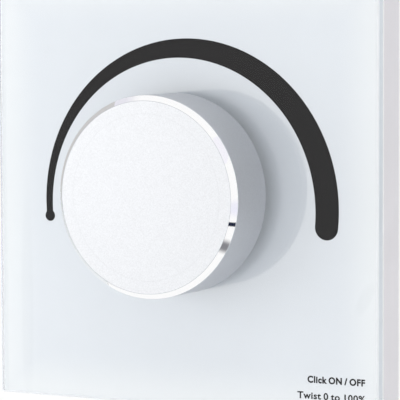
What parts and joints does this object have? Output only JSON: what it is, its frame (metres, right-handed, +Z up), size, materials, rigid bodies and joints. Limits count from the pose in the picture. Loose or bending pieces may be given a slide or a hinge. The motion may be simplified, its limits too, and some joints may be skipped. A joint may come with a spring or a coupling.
{
  "type": "rotary dimmer switch",
  "caption": "Square glass wall dimmer with a large aluminium knob that turns endlessly and is pushed to switch, on a clip-fitted frame and a wall-box housing.",
  "frame": {"origin": "centre of the two wall-box screw slots, on the wall plane, which is also the knob's axis", "axes": "+Z up, +X to the right seen from the front, +Y into the wall: the knob faces -Y"},
  "size_m": [0.086, 0.0486, 0.086],
  "materials": {
    "satin_aluminium": "fine bead-blasted with a polished chamfer",
    "clear_glass": "polished flat glass",
    "white_enamel": "fired white enamel seen through the glass",
    "dark_ink": "printed ink seen through the glass",
    "white_plastic": "fine moulded texture",
    "grey_plastic": "fine moulded texture",
    "black_plastic": "moulded",
    "hub_nylon": "moulded",
    "adhesive": "foam tape",
    "dome_rubber": "matt",
    "plated_steel": "zinc plated",
    "spring_steel": "bright",
    "brass": "tinned",
    "board_laminate": "solder mask",
    "film_case": "moulded",
    "can_sleeve": "shrunk sleeve",
    "ferrite": "ferrite core with its winding"
  },
  "bodies": {
    "wall_unit": {"glass_front": "clear_glass", "white_backing": "white_enamel", "dial_print": "dark_ink", "bond_tape": "adhesive", "front_frame": "white_plastic", "mounting_base": "white_plastic", "rear_housing": "grey_plastic", "control_board": "board_laminate", "encoder_body": "black_plastic", "encoder_bushing": "plated_steel", "encoder_bracket": "plated_steel", "encoder_pins": "brass", "detent_spring": "spring_steel", "switch_dome": "dome_rubber", "encoder_washer": "plated_steel", "encoder_nut": "plated_steel", "terminal_block": "black_plastic", "terminal_clamps": "brass", "terminal_screws": "plated_steel", "housing_screws": "plated_steel", "film_capacitor": "film_case", "supply_capacitor": "can_sleeve", "filter_choke": "ferrite", "output_transistors": "black_plastic", "controller_chip": "black_plastic"},
    "rotor": {"encoder_rotor": "hub_nylon"},
    "knob": {"knob_cap": "satin_aluminium", "knob_hub": "hub_nylon", "hub_clip": "spring_steel", "encoder_shaft": "plated_steel"}
  },
  "joints": [
    {"name": "knob_turn", "type": "hinge", "parent": "wall_unit", "child": "rotor", "pos_m": [0, -0.002, 0], "axis": [0, 1, 0], "continuous": true},
    {"name": "knob_push", "type": "slide", "parent": "rotor", "child": "knob", "axis": [0, 1, 0], "range_m": [0, 0.0015], "stiffness_N_per_m": 2500, "springref_m": -0.0003, "deforming": ["switch_dome"]}
  ]
}
